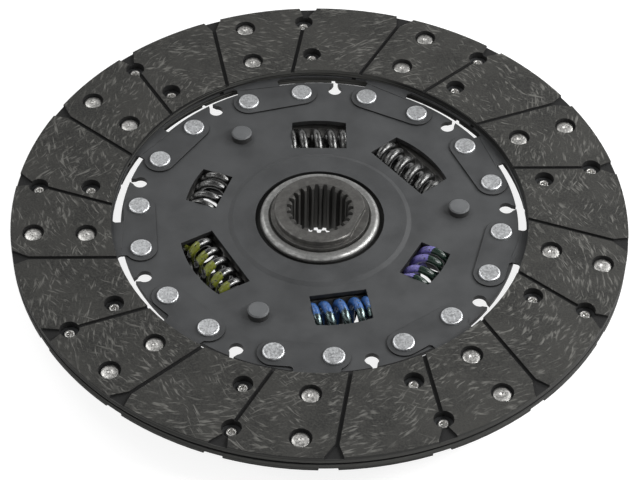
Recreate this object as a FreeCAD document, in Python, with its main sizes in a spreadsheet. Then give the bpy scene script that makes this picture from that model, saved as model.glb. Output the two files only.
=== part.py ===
import FreeCAD, Part
import math
import os
import Sketcher
from types import SimpleNamespace

# A clutch disc with a sprung hub: two riveted facings on nine wavy cushion segments, a carrier
# plate and a counter plate joined by three stop pins, six torsion springs between them, and a
# splined hub whose flange turns against the springs.
#
# The origin is on the disc's axis, midway between the two facings. +Z points to the carrier
# plate's side and angles run counter-clockwise from +X, seen from +Z. Lengths are in mm, angles
# in degrees. Every level is a height along Z.

SIZES = (
    # Friction facings
    ("facing_outer_radius", 120.0),
    ("plate_rim_gap", 3.6),
    ("facing_thickness", 3.1),
    ("facing_gap", 1.1),
    ("groove_width", 1.6),
    ("groove_depth", 1.1),
    ("groove_mouth_width", 7.5),
    ("groove_mouth_length", 6.0),
    ("groove_offset", 23.6),
    ("front_groove_angle", 2.0),
    ("rear_groove_angle", 3.6),
    ("access_hole_radius", 3.8),
    ("counterbore_radius", 4.25),
    ("counterbore_land", 1.25),
    # Facing rivets, on two rings and on both sides of each segment's middle
    ("outer_rivet_margin", 8.7),
    ("inner_rivet_margin", 9.7),
    ("outer_rivet_spread", 6.475),
    ("inner_rivet_spread", 7.89),
    ("facing_rivet_head_radius", 3.6),
    ("facing_rivet_head_height", 0.75),
    ("facing_rivet_shank_radius", 1.6),
    ("facing_rivet_tail_radius", 2.2),
    ("facing_rivet_tail_height", 0.95),
    ("facing_rivet_dimple_radius", 0.7),
    ("facing_rivet_dimple_depth", 0.4),
    ("facing_rivet_head_bevel", 0.35),
    ("facing_rivet_tail_bevel", 0.3),
    # Cushion segments
    ("segment_count", 9),
    ("segment_thickness", 0.7),
    ("blade_rim_margin", 2.0),
    ("blade_inner_reach", 0.5),
    ("blade_gap_angle", 0.7),
    ("blade_lag_angle", 5.15),
    ("wave_half_spacing", 12.5),
    ("wave_flat_length", 10.0),
    ("wave_run_out", 7.0),
    ("neck_low_angle", -2.3),
    ("neck_high_angle", 10.2),
    ("neck_fillet", 1.4),
    ("foot_margin", 6.2),
    # Rivets that hold the segments' feet on the carrier plate
    ("foot_rivet_margin", 6.7),
    ("foot_rivet_spread", 9.11),
    ("foot_rivet_shank_radius", 2.5),
    ("foot_rivet_head_radius", 4.2),
    ("foot_rivet_head_height", 1.1),
    ("foot_rivet_head_round", 0.7),
    ("foot_rivet_tail_radius", 3.6),
    # Carrier plate
    ("key_angle", 6.0),
    ("plate_outer_radius", 77.7),
    ("plate_thickness", 2.0),
    ("step_side_gap", 1.0),
    ("step_width", 1.8),
    ("step_height", 0.8),
    ("keyhole_margin", 4.0),
    ("keyhole_radius", 2.8),
    ("keyhole_slit_width", 1.7),
    ("keyhole_mouth_width", 5.2),
    # Counter plate
    ("counter_rim_margin", 2.0),
    ("dish_depth", 2.2),
    ("dish_side_gap", 1.8),
    # Torsion springs and their windows
    ("spring_ring_radius", 46.5),
    ("window_spread", 25.15),
    ("window_arch_radius", 46.0),
    ("long_window_length", 30.3),
    ("long_window_side_gap", 0.81),
    ("long_spring_turns", 5.5),
    ("long_wire_radius", 1.75),
    ("medium_window_length", 22.0),
    ("medium_window_side_gap", 1.26),
    ("medium_spring_turns", 4.25),
    ("medium_wire_radius", 1.7),
    ("short_window_length", 18.3),
    ("short_window_side_gap", 0.26),
    ("short_spring_turns", 3.5),
    ("short_wire_radius", 1.6),
    ("spring_outer_radius", 7.4),
    ("spring_end_gap", 0.1),
    ("closed_coil_turns", 0.75),
    ("closed_coil_gap", 0.35),
    ("spring_side_gap", 0.4),
    ("wire_side_count", 8),
    # Stop pins
    ("pin_count", 3),
    ("pin_inset", 5.1),
    ("pin_head_radius", 4.1),
    ("pin_head_height", 3.0),
    ("pin_neck_radius", 3.2),
    ("pin_spacer_radius", 4.0),
    ("pin_tail_radius", 4.6),
    ("pin_tail_height", 2.0),
    ("pin_edge_break", 0.5),
    ("pin_stop_gap", 0.3),
    ("twist_limit_angle", 8.0),
    # Hub
    ("hub_nose_height", 5.6),
    ("hub_length", 25.0),
    ("hub_tail_radius", 18.5),
    ("shoulder_radius", 19.2),
    ("collar_height", 2.7),
    ("collar_step", 1.4),
    ("collar_flat_depth", 2.0),
    ("collar_flat_angle", -21.0),
    ("flange_rim_width", 5.7),
    ("flange_thickness", 5.0),
    ("flange_side_gap", 1.85),
    ("notch_floor_gap", 0.6),
    ("hub_chamfer", 0.8),
    ("spline_tooth_count", 23),
    ("spline_tip_radius", 11.2),
    ("spline_depth", 1.9),
    ("spline_mouth_width", 2.15),
    ("spline_root_width", 1.3),
    ("spline_angle", 3.0),
    # Bush in the carrier plate, and the friction pieces behind the hub's flange
    ("running_gap", 0.08),
    ("bush_nose_height", 1.9),
    ("bush_wall", 6.0),
    ("bush_collar_step", 1.8),
    ("bush_mouth_chamfer", 0.9),
    ("bush_round", 1.8),
    ("bush_seat_drop", 1.7),
    ("friction_outer_radius", 33.0),
    ("washer_thickness", 1.5),
    ("pressure_ring_thickness", 1.2),
    ("prong_count", 3),
    ("prong_inset", 1.0),
    ("prong_width", 7.0),
    ("prong_thickness", 1.4),
    ("prong_reach", 0.8),
    ("prong_gap", 0.2),
    ("diaphragm_edge_gap", 0.7),
    ("diaphragm_inner_radius", 21.0),
    ("diaphragm_thickness", 0.8),
)

LINE_START, LINE_END, CIRCLE_CENTRE = range(1, 4)
X_DIRECTION = "1; 0; 0"
Y_DIRECTION = "0; 1; 0"
Z_DIRECTION = "0; 0; 1"

doc = FreeCAD.newDocument("clutch_disc")
nodes = []


class Size:
    """A length or an angle: the formula that the sheet reads, and what it comes to now."""

    def __init__(self, formula, amount):
        self.formula = formula
        self.amount = amount

    def __add__(self, other):
        other = as_size(other)
        return Size(f"({self.formula} + {other.formula})", self.amount + other.amount)

    def __sub__(self, other):
        other = as_size(other)
        return Size(f"({self.formula} - {other.formula})", self.amount - other.amount)

    def __mul__(self, other):
        other = as_size(other)
        return Size(f"({self.formula} * {other.formula})", self.amount * other.amount)

    def __truediv__(self, other):
        other = as_size(other)
        return Size(f"({self.formula} / {other.formula})", self.amount / other.amount)

    def __rsub__(self, other):
        return as_size(other) - self

    def __rtruediv__(self, other):
        return as_size(other) / self

    def __neg__(self):
        return Size(f"(0 - {self.formula})", -self.amount)

    __radd__ = __add__
    __rmul__ = __mul__


def as_size(thing):
    return thing if isinstance(thing, Size) else Size(repr(thing), thing)


def cosine(angle):
    angle = as_size(angle)
    return Size(f"cos({angle.formula})", math.cos(math.radians(angle.amount)))


def sine(angle):
    angle = as_size(angle)
    return Size(f"sin({angle.formula})", math.sin(math.radians(angle.amount)))


def arc_sine(ratio):
    """The angle in degrees whose sine is this ratio."""
    return Size(f"(asin({ratio.formula}) / 1 deg)", math.degrees(math.asin(ratio.amount)))


def root(thing):
    return Size(f"sqrt({thing.formula})", math.sqrt(thing.amount))


def polar(radius, angle):
    """The X and Y of a point at this radius and angle."""
    return as_size(radius) * cosine(angle), as_size(radius) * sine(angle)


def fill_sheet():
    """One row for each driving dimension, with its name beside it as its alias."""
    sheet = doc.addObject("Spreadsheet::Sheet", "sizes")
    for row, (name, amount) in enumerate(SIZES, start=1):
        sheet.set(f"A{row}", name.replace("_", " "))
        sheet.set(f"B{row}", str(amount))
        sheet.setAlias(f"B{row}", name)
    doc.recompute()
    return SimpleNamespace(**{name: Size(f"sizes.{name}", sheet.get(name)) for name, _ in SIZES})


size = fill_sheet()


# Helpers that tie objects to the sheet


def bind(item, path, thing):
    item.setExpression(path, as_size(thing).formula)


def placement_formula(x=0, y=0, z=0, turns=()):
    """A placement at x, y, z; turns are (axis, angle) pairs, of which the last acts first."""
    spot = "; ".join(as_size(coordinate).formula for coordinate in (x, y, z))
    spins = [f"rotation(vector({axis}); {as_size(angle).formula})" for axis, angle in turns]
    spin = " * ".join(spins) or f"rotation(vector({Z_DIRECTION}); 0)"
    return f"placement(vector({spot}); {spin})"


def new_body(name, **place):
    """A body that becomes a node of the part."""
    body = doc.addObject("PartDesign::Body", name)
    body.Label = name
    body.AllowCompound = True
    if place:
        body.setExpression("Placement", placement_formula(**place))
    nodes.append(body)
    return body


def origin_item(body, role):
    return next(item for item in body.Origin.OriginFeatures if item.Role == role)


def new_sketch(body, name, plane, **offset):
    sketch = body.newObject("Sketcher::SketchObject", f"{body.Name}_{name}")
    sketch.AttachmentSupport = [(origin_item(body, plane), "")]
    sketch.MapMode = "FlatFace"
    if offset:
        sketch.setExpression("AttachmentOffset", placement_formula(**offset))
    return sketch


def flat_sketch(body, name, level=0, turn=0):
    """A sketch that looks down on the disc from this level, turned about its axis."""
    return new_sketch(body, name, "XY_Plane", z=level, turns=((Z_DIRECTION, turn),))


def side_sketch(body, name, radius=0, angle=0):
    """A sketch through the disc's axis, with its own axis at this radius and angle."""
    x, y = polar(radius, angle)
    return new_sketch(body, name, "XZ_Plane", x=x, z=-y, turns=((Y_DIRECTION, angle),))


def tie(sketch, kind, *where, to):
    index = sketch.addConstraint(Sketcher.Constraint(kind, *where, to.amount))
    sketch.setExpression(f"Constraints[{index}]", to.formula)


def tie_point(sketch, line, point, x, y):
    tie(sketch, "DistanceX", -1, 1, line, point, to=x)
    tie(sketch, "DistanceY", -1, 1, line, point, to=y)


def add_circle(sketch, radius, x=0, y=0):
    radius, x, y = as_size(radius), as_size(x), as_size(y)
    centre = FreeCAD.Vector(x.amount, y.amount, 0)
    upward = FreeCAD.Vector(0, 0, 1)
    line = sketch.addGeometry(Part.Circle(centre, upward, radius.amount), False)
    tie(sketch, "Radius", line, to=radius)
    tie_point(sketch, line, CIRCLE_CENTRE, x, y)


def arc_between(start, end, radius):
    """The short arc from start to end: a positive radius turns left, a negative one right."""
    half = (end - start) * 0.5
    reach = math.sqrt(max(radius * radius - half.Length ** 2, 0))
    left = FreeCAD.Vector(-half.y, half.x, 0).normalize()
    centre = start + half + left * math.copysign(reach, radius)
    first, last = (start, end) if radius > 0 else (end, start)
    circle = Part.Circle(centre, FreeCAD.Vector(0, 0, 1), abs(radius))
    return Part.ArcOfCircle(circle, circle.parameter(first), circle.parameter(last))


def add_loop(sketch, corners):
    """A closed outline. A corner is (x, y), or (x, y, radius) where an arc leads to the next."""
    corners = [tuple(as_size(thing) for thing in corner) for corner in corners]
    spots = [FreeCAD.Vector(corner[0].amount, corner[1].amount, 0) for corner in corners]
    sides = []
    for corner, start, end in zip(corners, spots, spots[1:] + spots[:1]):
        turns_right = len(corner) == 3 and corner[2].amount < 0
        if len(corner) == 3:
            shape = arc_between(start, end, corner[2].amount)
        else:
            shape = Part.LineSegment(start, end)
        ends = (LINE_END, LINE_START) if turns_right else (LINE_START, LINE_END)
        sides.append((sketch.addGeometry(shape, False), *ends))
    for number, (line, start, _) in enumerate(sides):
        previous, _, previous_end = sides[number - 1]
        sketch.addConstraint(Sketcher.Constraint("Coincident", line, start, previous, previous_end))
    for corner, (line, start, _) in zip(corners, sides):
        tie_point(sketch, line, start, corner[0], corner[1])
        if len(corner) == 3:
            tie(sketch, "Radius", line, to=corner[2] if corner[2].amount > 0 else -corner[2])


def finish_feature(body, feature):
    body.Tip = feature
    return feature


def pad(body, name, sketch, length, midplane=False):
    feature = body.newObject("PartDesign::Pad", f"{body.Name}_{name}")
    feature.Profile = sketch
    feature.Midplane = midplane
    bind(feature, "Length", length)
    return finish_feature(body, feature)


def pocket(body, name, sketch, depth=None):
    """Cuts downwards from the sketch, to this depth or right through."""
    feature = body.newObject("PartDesign::Pocket", f"{body.Name}_{name}")
    feature.Profile = sketch
    if depth is None:
        feature.Type = "ThroughAll"
    else:
        bind(feature, "Length", depth)
    return finish_feature(body, feature)


def revolve(body, name, sketch):
    feature = body.newObject("PartDesign::Revolution", f"{body.Name}_{name}")
    feature.Profile = sketch
    feature.ReferenceAxis = (sketch, ["V_Axis"])
    feature.Angle = 360
    return finish_feature(body, feature)


def repeat(body, name, features, count):
    """Copies the features evenly round the disc's axis."""
    feature = body.newObject("PartDesign::PolarPattern", f"{body.Name}_{name}")
    feature.Originals = features
    feature.Axis = (origin_item(body, "Z_Axis"), [""])
    feature.Angle = 360
    bind(feature, "Occurrences", count)
    return finish_feature(body, feature)


# Places that several pieces share

pitch_angle = 360 / size.segment_count
pin_pitch_angle = 360 / size.pin_count
foot_angle = size.key_angle + pitch_angle / 2
blade_angle = foot_angle - size.blade_lag_angle
blade_half_angle = pitch_angle / 2 - size.blade_gap_angle

facing_seat = size.facing_gap / 2
facing_face = facing_seat + size.facing_thickness
rivet_seat = facing_seat + size.counterbore_land
segment_top = size.segment_thickness / 2
wave_height = (size.facing_gap - size.segment_thickness) / 2

plate_front = -segment_top
plate_back = plate_front - size.plate_thickness
flange_front = plate_back - size.flange_side_gap
flange_back = flange_front - size.flange_thickness
spring_level = (flange_front + flange_back) / 2
counter_front = flange_back - size.flange_side_gap
counter_back = counter_front - size.plate_thickness
dish_front = counter_front - size.dish_depth
dish_back = counter_back - size.dish_depth
hub_tail_level = size.hub_nose_height - size.hub_length
shoulder_level = size.hub_nose_height - size.collar_height

facing_inner_radius = size.plate_outer_radius + size.plate_rim_gap
blade_inner_radius = facing_inner_radius - size.blade_inner_reach
blade_outer_radius = size.facing_outer_radius - size.blade_rim_margin
inner_rivet_ring = facing_inner_radius + size.inner_rivet_margin
outer_rivet_ring = size.facing_outer_radius - size.outer_rivet_margin
foot_rivet_ring = size.plate_outer_radius - size.foot_rivet_margin
keyhole_ring = size.plate_outer_radius - size.keyhole_margin
plate_hole_radius = size.shoulder_radius + size.bush_wall
step_radius = size.friction_outer_radius + size.step_side_gap
prong_ring = size.friction_outer_radius - size.prong_inset
dish_radius = prong_ring + size.prong_thickness / 2 + size.dish_side_gap

flange_window_width = 2 * (size.spring_outer_radius + size.spring_side_gap)
flange_radius = size.spring_ring_radius + flange_window_width / 2 + size.flange_rim_width
pin_ring = flange_radius - size.pin_inset
counter_outer_radius = flange_radius + size.counter_rim_margin

facing_rivet_rings = (
    (outer_rivet_ring, size.outer_rivet_spread),
    (inner_rivet_ring, size.inner_rivet_spread),
)

washer_front = flange_back - size.running_gap
ring_front = washer_front - size.washer_thickness
ring_back = ring_front - size.pressure_ring_thickness

coil_radius = size.spring_outer_radius
coil_rise = plate_back - spring_level
coil_width = 2 * root(coil_radius * coil_radius - coil_rise * coil_rise)

spring_kinds = {
    "long": SimpleNamespace(
        length=size.long_window_length,
        width=coil_width + 2 * size.long_window_side_gap,
        turns=size.long_spring_turns,
        wire=size.long_wire_radius,
    ),
    "medium": SimpleNamespace(
        length=size.medium_window_length,
        width=coil_width + 2 * size.medium_window_side_gap,
        turns=size.medium_spring_turns,
        wire=size.medium_wire_radius,
    ),
    "short": SimpleNamespace(
        length=size.short_window_length,
        width=coil_width + 2 * size.short_window_side_gap,
        turns=size.short_spring_turns,
        wire=size.short_wire_radius,
    ),
}


# How far each spring has turned about its own axis, in degrees
SPRING_STARTS = (180, 180, 180, 0, 180, 180)


def spring_places():
    """The six springs, two beside the middle between each two stop pins."""
    order = ("long", "medium", "short", "long", "medium", "short")
    for number, kind in enumerate(order):
        middle = size.key_angle + pin_pitch_angle * (number // 2 + 0.5)
        spread = size.window_spread
        yield number + 1, kind, middle + spread if number % 2 else middle - spread


# Friction facings


def groove_corners(side):
    """A straight groove beside the axis that flares at the rim; side is 1 or -1."""
    offset = side * size.groove_offset
    half = size.groove_width / 2
    mouth_half = size.groove_mouth_width / 2
    rim = size.facing_outer_radius
    rim_x = root(rim * rim - offset * offset)
    flare_x = rim_x - size.groove_mouth_length
    inner = facing_inner_radius
    start_x = root(inner * inner - offset * offset) - size.groove_width
    return (
        (start_x, offset - half),
        (flare_x, offset - half),
        (rim_x, offset - mouth_half),
        (rim_x + size.groove_mouth_width, offset - mouth_half),
        (rim_x + size.groove_mouth_width, offset + mouth_half),
        (rim_x, offset + mouth_half),
        (flare_x, offset + half),
        (start_x, offset + half),
    )


def make_facing(name, face_side, groove_angle):
    """A facing with its wear face up; the rear one is turned over about X."""
    turn_over = 0 if face_side > 0 else 180
    level = face_side * facing_seat
    body = new_body(name, z=level, turns=((X_DIRECTION, turn_over),))
    ring = flat_sketch(body, "ring")
    add_circle(ring, size.facing_outer_radius)
    add_circle(ring, facing_inner_radius)
    pad(body, "annulus", ring, size.facing_thickness)

    face = size.facing_thickness
    middle = face_side * blade_angle
    holes = flat_sketch(body, "hole_plan", face, middle)
    seats = flat_sketch(body, "counterbore_plan", face, middle)
    for radius, spread in facing_rivet_rings:
        add_circle(holes, size.facing_rivet_shank_radius, *polar(radius, spread))
        add_circle(holes, size.access_hole_radius, *polar(radius, -spread))
        add_circle(seats, size.counterbore_radius, *polar(radius, spread))
    through = pocket(body, "holes", holes)
    sunk = pocket(body, "counterbores", seats, size.facing_thickness - size.counterbore_land)
    repeat(body, "holes_round", [through, sunk], size.segment_count)

    plan = flat_sketch(body, "groove_plan", face, face_side * groove_angle)
    add_loop(plan, groove_corners(1))
    groove = pocket(body, "groove", plan, size.groove_depth)
    repeat(body, "grooves_round", [groove], 2 * size.segment_count)


def make_facings():
    make_facing("front_lining", 1, size.front_groove_angle)
    make_facing("rear_lining", -1, size.rear_groove_angle)


def make_facing_rivets(name, face_side):
    """Tubular rivets: a dished head in the counterbore and a rolled end behind the segment."""
    body = new_body(name, turns=((X_DIRECTION, 0 if face_side > 0 else 180),))
    crest_back = wave_height - segment_top
    tail_end = crest_back - size.facing_rivet_tail_height
    head_top = rivet_seat + size.facing_rivet_head_height
    shank = size.facing_rivet_shank_radius
    dimple_floor = head_top - size.facing_rivet_dimple_depth
    bevel = size.facing_rivet_head_bevel
    tail_bevel = size.facing_rivet_tail_bevel
    middle = face_side * blade_angle
    turned = []
    for label, (radius, spread) in zip(("outer", "inner"), facing_rivet_rings):
        profile = side_sketch(body, f"{label}_profile", radius, middle + spread)
        add_loop(
            profile,
            (
                (0, tail_end),
                (size.facing_rivet_tail_radius - tail_bevel, tail_end),
                (size.facing_rivet_tail_radius, tail_end + tail_bevel),
                (size.facing_rivet_tail_radius, crest_back),
                (shank, crest_back),
                (shank, rivet_seat),
                (size.facing_rivet_head_radius, rivet_seat),
                (size.facing_rivet_head_radius, head_top - bevel),
                (size.facing_rivet_head_radius - bevel, head_top),
                (size.facing_rivet_dimple_radius, head_top),
                (size.facing_rivet_dimple_radius / 2, dimple_floor),
                (0, dimple_floor),
            ),
        )
        turned.append(revolve(body, label, profile))
    repeat(body, "round", turned, size.segment_count)


# Cushion segments


def blade_fillet(edge_y, side):
    """Where the fillet between a neck's edge and the blade's inner arc meets each of them; side
    is 1 above the neck and -1 below it."""
    reach = blade_inner_radius - size.neck_fillet
    middle_y = edge_y + side * size.neck_fillet
    middle_x = root(reach * reach - middle_y * middle_y)
    share = blade_inner_radius / reach
    return (middle_x, edge_y), (middle_x * share, middle_y * share)


def foot_fillet(end_x, end_y, edge_y):
    """Where the fillet between the neck's edge and the foot's round end meets each of them."""
    reach = size.foot_margin + size.neck_fillet
    rise = edge_y + size.neck_fillet - end_y
    run = root(reach * reach - rise * rise)
    share = size.foot_margin / reach
    return (end_x + run, edge_y), (end_x + run * share, end_y + rise * share)


def segment_corners():
    """A segment's outline with its foot's middle on X: foot, neck, and the blade that carries
    the facings."""
    ring_x = foot_rivet_ring * cosine(size.foot_rivet_spread)
    rivet_y = foot_rivet_ring * sine(size.foot_rivet_spread)
    margin = size.foot_margin
    fillet = size.neck_fillet
    inner = blade_inner_radius
    outer = blade_outer_radius
    low_y = inner * sine(size.neck_low_angle)
    high_y = inner * sine(size.neck_high_angle)
    low_angle = -size.blade_lag_angle - blade_half_angle
    high_angle = blade_half_angle - size.blade_lag_angle
    low_neck, low_blade = blade_fillet(low_y, -1)
    high_neck, high_blade = blade_fillet(high_y, 1)
    foot_neck, foot_round = foot_fillet(ring_x, rivet_y, high_y)
    return (
        (ring_x - margin, -rivet_y, margin),
        (ring_x, -rivet_y - margin, margin),
        (ring_x + margin, -rivet_y),
        (ring_x + margin, low_y - fillet, -fillet),
        (ring_x + margin + fillet, low_y),
        (*low_neck, -fillet),
        (*low_blade, -inner),
        polar(inner, low_angle),
        (*polar(outer, low_angle), outer),
        polar(outer, high_angle),
        (*polar(inner, high_angle), -inner),
        (*high_blade, -fillet),
        high_neck,
        (*foot_neck, -fillet),
        (*foot_round, margin),
        (ring_x, rivet_y + margin, margin),
        (ring_x - margin, rivet_y),
    )


def wave_corners():
    """The blade's section across its middle line: a trough under one row of rivets and a crest
    over the other, with X across the blade and Y as its height."""
    flat = size.wave_flat_length / 2
    mid = size.wave_half_spacing
    ends = blade_outer_radius
    path = (
        (-ends, 0),
        (-mid - flat - size.wave_run_out, 0),
        (-mid - flat, -wave_height),
        (flat - mid, -wave_height),
        (mid - flat, wave_height),
        (mid + flat, wave_height),
        (mid + flat + size.wave_run_out, 0),
        (ends, 0),
    )
    below = [(across, height - segment_top) for across, height in path]
    above = [(across, height + segment_top) for across, height in reversed(path)]
    return below + above


def make_segment_outline():
    """The flat blank of one segment, as thick as the wave is high, with its rivet holes."""
    body = doc.addObject("PartDesign::Body", "segment_blank")
    plan = flat_sketch(body, "plan")
    add_loop(plan, segment_corners())
    pad(body, "plate", plan, size.facing_gap, midplane=True)
    rivets = flat_sketch(body, "rivet_plan", size.facing_gap)
    for spread in (size.foot_rivet_spread, -size.foot_rivet_spread):
        add_circle(rivets, size.foot_rivet_shank_radius, *polar(foot_rivet_ring, spread))
    for radius, spread in facing_rivet_rings:
        for angle in (spread, -spread):
            place = polar(radius, angle - size.blade_lag_angle)
            add_circle(rivets, size.facing_rivet_shank_radius, *place)
    pocket(body, "rivet_holes", rivets)
    return body


def make_segment_sheet():
    """The wavy sheet of the blade, joined to the flat sheet of the foot."""
    blade = doc.addObject("PartDesign::Body", "segment_wave")
    start = blade_inner_radius * cosine(blade_half_angle)
    lag = -size.blade_lag_angle
    wave = new_sketch(
        blade,
        "section",
        "YZ_Plane",
        x=start * sine(lag),
        z=start * cosine(lag),
        turns=((Y_DIRECTION, lag),),
    )
    add_loop(wave, wave_corners())
    pad(blade, "sheet", wave, blade_outer_radius)

    reach = foot_rivet_ring - 2 * size.foot_margin
    half_width = foot_rivet_ring * sine(size.foot_rivet_spread) + 2 * size.foot_margin
    foot = doc.addObject("Part::Box", "segment_foot")
    bind(foot, "Length", blade_inner_radius - reach)
    bind(foot, "Width", 2 * half_width)
    bind(foot, "Height", size.segment_thickness)
    foot.setExpression("Placement", placement_formula(reach, -half_width, -segment_top))

    sheet = doc.addObject("Part::Fuse", "segment_sheet")
    sheet.Base = blade
    sheet.Tool = foot
    return sheet


def make_cushion_segments():
    """Nine separate segments, each a turned copy of one master."""
    master = doc.addObject("Part::Common", "segment_master")
    master.Base = make_segment_outline()
    master.Tool = make_segment_sheet()
    for number in range(int(size.segment_count.amount)):
        link = doc.addObject("App::Link", f"cushion_segment_{number + 1}")
        link.LinkedObject = master
        link.Label = link.Name
        turn = foot_angle + number * pitch_angle
        link.setExpression("Placement", placement_formula(turns=((Z_DIRECTION, turn),)))
        nodes.append(link)


def make_segment_rivets():
    """Solid rivets: a domed head on the foot and a flat one behind the carrier plate."""
    body = new_body("segment_rivets")
    head_top = segment_top + size.foot_rivet_head_height
    dome = size.foot_rivet_head_round
    tail_end = plate_back - size.foot_rivet_head_height
    turned = []
    for label, spread in (("low", -size.foot_rivet_spread), ("high", size.foot_rivet_spread)):
        profile = side_sketch(body, f"{label}_profile", foot_rivet_ring, foot_angle + spread)
        add_loop(
            profile,
            (
                (0, tail_end),
                (size.foot_rivet_tail_radius, tail_end),
                (size.foot_rivet_tail_radius, plate_back),
                (size.foot_rivet_shank_radius, plate_back),
                (size.foot_rivet_shank_radius, segment_top),
                (size.foot_rivet_head_radius, segment_top),
                (size.foot_rivet_head_radius, head_top - dome, dome),
                (size.foot_rivet_head_radius - dome, head_top),
                (0, head_top),
            ),
        )
        turned.append(revolve(body, label, profile))
    repeat(body, "round", turned, size.segment_count)


# Side plates


def window_corners(length, width, *arch):
    """A window with its middle on X; arch is the radius of its outer edge, if that is bent."""
    half = length / 2
    inner = size.spring_ring_radius - width / 2
    outer = size.spring_ring_radius + width / 2
    return ((inner, -half), (outer, -half, *arch), (outer, half), (inner, half))


def cut_plate_windows(body, level):
    """The six windows of a side plate, each narrower than its spring, which it holds in."""
    for number, kind_name, angle in spring_places():
        kind = spring_kinds[kind_name]
        plan = flat_sketch(body, f"window_plan_{number}", level, angle)
        add_loop(plan, window_corners(kind.length, kind.width, size.window_arch_radius))
        pocket(body, f"window_{number}", plan)


def cut_round(body, name, level, circles, count):
    """Round holes given as (radius, ring, angle), right through and evenly repeated."""
    plan = flat_sketch(body, f"{name}_plan", level)
    for radius, ring, angle in circles:
        add_circle(plan, radius, *polar(ring, angle))
    hole = pocket(body, name, plan)
    return repeat(body, f"{name}_round", [hole], count)


def make_carrier_plate():
    """Pressed plate with a raised middle, keyholes at the rim and the spring windows."""
    body = new_body("carrier_plate")
    foot_of_step = step_radius + size.step_width
    profile = side_sketch(body, "profile")
    add_loop(
        profile,
        (
            (plate_hole_radius, plate_back + size.step_height),
            (step_radius - size.step_height, plate_back + size.step_height),
            (foot_of_step - size.step_height, plate_back),
            (size.plate_outer_radius, plate_back),
            (size.plate_outer_radius, plate_front),
            (foot_of_step, plate_front),
            (step_radius, plate_front + size.step_height),
            (plate_hole_radius, plate_front + size.step_height),
        ),
    )
    revolve(body, "pressing", profile)
    top = plate_front + size.step_height
    cut_plate_windows(body, top)

    slit = flat_sketch(body, "slit_plan", top, size.key_angle)
    half_slit = size.keyhole_slit_width / 2
    half_mouth = size.keyhole_mouth_width / 2
    rim = size.plate_outer_radius
    beyond = rim + size.keyhole_radius
    add_loop(
        slit,
        (
            (keyhole_ring, -half_mouth),
            (rim, -half_slit),
            (beyond, -half_slit),
            (beyond, half_slit),
            (rim, half_slit),
            (keyhole_ring, half_mouth),
        ),
    )
    slit_cut = pocket(body, "slit", slit)
    holes = flat_sketch(body, "hole_plan", top)
    add_circle(holes, size.keyhole_radius, *polar(keyhole_ring, size.key_angle))
    for spread in (-size.foot_rivet_spread, size.foot_rivet_spread):
        place = polar(foot_rivet_ring, foot_angle + spread)
        add_circle(holes, size.foot_rivet_shank_radius, *place)
    holes_cut = pocket(body, "holes", holes)
    repeat(body, "rim_round", [slit_cut, holes_cut], size.segment_count)
    pins = ((size.pin_neck_radius, pin_ring, size.key_angle),)
    cut_round(body, "pin_hole", top, pins, size.pin_count)


def prong_corners(extra):
    """The outline of one prong of the pressure ring, or of its slot with some room."""
    half_width = size.prong_width / 2 + extra
    half_depth = size.prong_thickness / 2 + extra
    inner = prong_ring - half_depth
    outer = prong_ring + half_depth
    return ((inner, -half_width), (outer, -half_width), (outer, half_width), (inner, half_width))


def make_counter_plate():
    """Pressed plate behind the hub's flange, dished to hold the friction pieces."""
    body = new_body("counter_plate")
    dish = dish_radius
    profile = side_sketch(body, "profile")
    add_loop(
        profile,
        (
            (plate_hole_radius, dish_back),
            (dish + size.step_width, dish_back),
            (dish + size.step_width + size.dish_depth, counter_back),
            (counter_outer_radius, counter_back),
            (counter_outer_radius, counter_front),
            (dish + size.dish_depth, counter_front),
            (dish, dish_front),
            (plate_hole_radius, dish_front),
        ),
    )
    revolve(body, "pressing", profile)
    cut_plate_windows(body, counter_front)
    pins = ((size.pin_neck_radius, pin_ring, size.key_angle),)
    cut_round(body, "pin_hole", counter_front, pins, size.pin_count)
    slots = flat_sketch(body, "slot_plan", counter_front, size.key_angle)
    add_loop(slots, prong_corners(size.prong_gap))
    slot = pocket(body, "slot", slots)
    repeat(body, "slots_round", [slot], size.prong_count)


def make_stop_pins():
    """Stepped pins that join the plates and stop the flange at the ends of its notches."""
    head_top = plate_front + size.pin_head_height
    tail_end = counter_back - size.pin_tail_height
    edge = size.pin_edge_break
    for number in range(int(size.pin_count.amount)):
        turn = size.key_angle + number * pin_pitch_angle
        body = new_body(f"stop_pin_{number + 1}", turns=((Z_DIRECTION, turn),))
        profile = side_sketch(body, "profile", pin_ring)
        add_loop(
            profile,
            (
                (0, tail_end),
                (size.pin_tail_radius - edge, tail_end),
                (size.pin_tail_radius, tail_end + edge),
                (size.pin_tail_radius, counter_back),
                (size.pin_neck_radius, counter_back),
                (size.pin_neck_radius, counter_front),
                (size.pin_spacer_radius, counter_front),
                (size.pin_spacer_radius, plate_back),
                (size.pin_neck_radius, plate_back),
                (size.pin_neck_radius, plate_front),
                (size.pin_head_radius, plate_front),
                (size.pin_head_radius, head_top - edge),
                (size.pin_head_radius - edge, head_top),
                (0, head_top),
            ),
        )
        revolve(body, "pin", profile)


# Torsion springs


def make_wire_run(name, wire_radius, turns, pitch, height, angle):
    """A stretch of spring wire, wound evenly, that starts at this height and angle."""
    wire_ring = size.spring_outer_radius - wire_radius
    path = doc.addObject("Part::Helix", f"{name}_path")
    bind(path, "Pitch", pitch)
    bind(path, "Height", pitch * turns)
    bind(path, "Radius", wire_ring)
    path.SegmentLength = 0
    section = doc.addObject("Part::RegularPolygon", f"{name}_section")
    bind(section, "Polygon", size.wire_side_count)
    bind(section, "Circumradius", wire_radius)
    section.setExpression(
        "Placement", placement_formula(x=wire_ring, turns=((X_DIRECTION, 90),))
    )
    run = doc.addObject("Part::Sweep", name)
    run.Sections = [section]
    run.Spine = (path, [])
    run.Solid = True
    run.Frenet = True
    run.setExpression("Placement", placement_formula(z=height, turns=((Z_DIRECTION, angle),)))
    return run


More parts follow.
